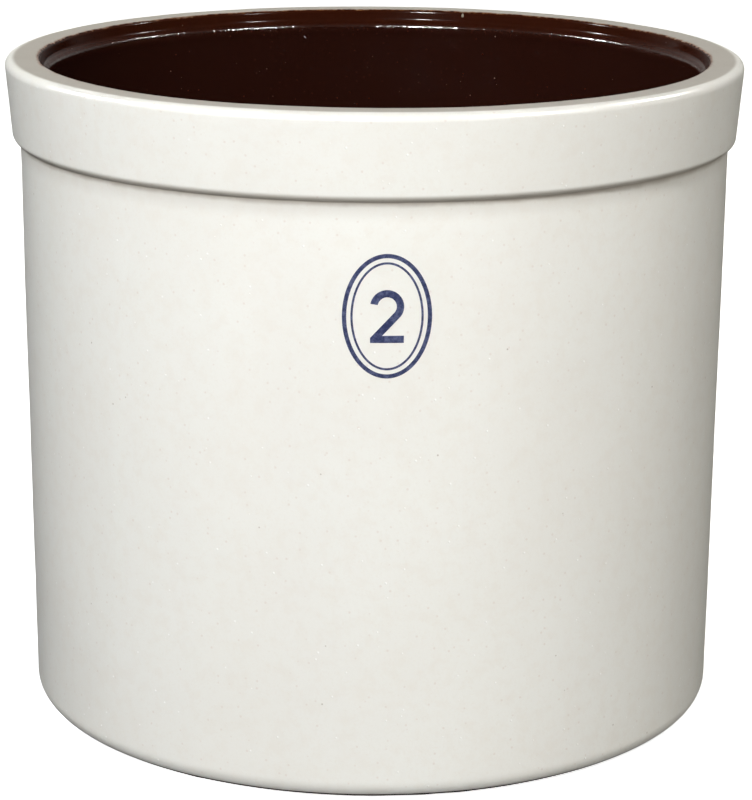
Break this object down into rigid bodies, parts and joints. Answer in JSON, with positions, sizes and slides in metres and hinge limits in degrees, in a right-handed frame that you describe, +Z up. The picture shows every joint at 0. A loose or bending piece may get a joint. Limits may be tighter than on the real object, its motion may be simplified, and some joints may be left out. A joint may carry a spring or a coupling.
{
  "type": "stoneware crock",
  "caption": "Straight-sided open stoneware crock with a thick rim band, white glaze outside, brown glaze inside and a printed capacity numeral in a blue oval.",
  "frame": {"origin": "centre of the foot, on the surface the crock stands on", "axes": "+Z up along the crock's axis, -Y towards the printed mark, +X to the right as the mark is read"},
  "size_m": [0.255, 0.255, 0.228],
  "materials": {
    "fired_clay": "unglazed fired stoneware, matt and slightly rough",
    "white_glaze": "soft-gloss warm white glaze with fine specks and a faint orange-peel surface",
    "brown_glaze": "high-gloss dark red-brown glaze, paler where it thins over an edge",
    "blue_ink": "navy ink fired under the glaze, slightly mottled"
  },
  "bodies": {
    "root": {"stoneware_body": "fired_clay", "exterior_glaze": "white_glaze", "interior_glaze": "brown_glaze", "mark_border": "blue_ink", "mark_inner_line": "blue_ink", "capacity_numeral": "blue_ink"}
  },
  "joints": []
}
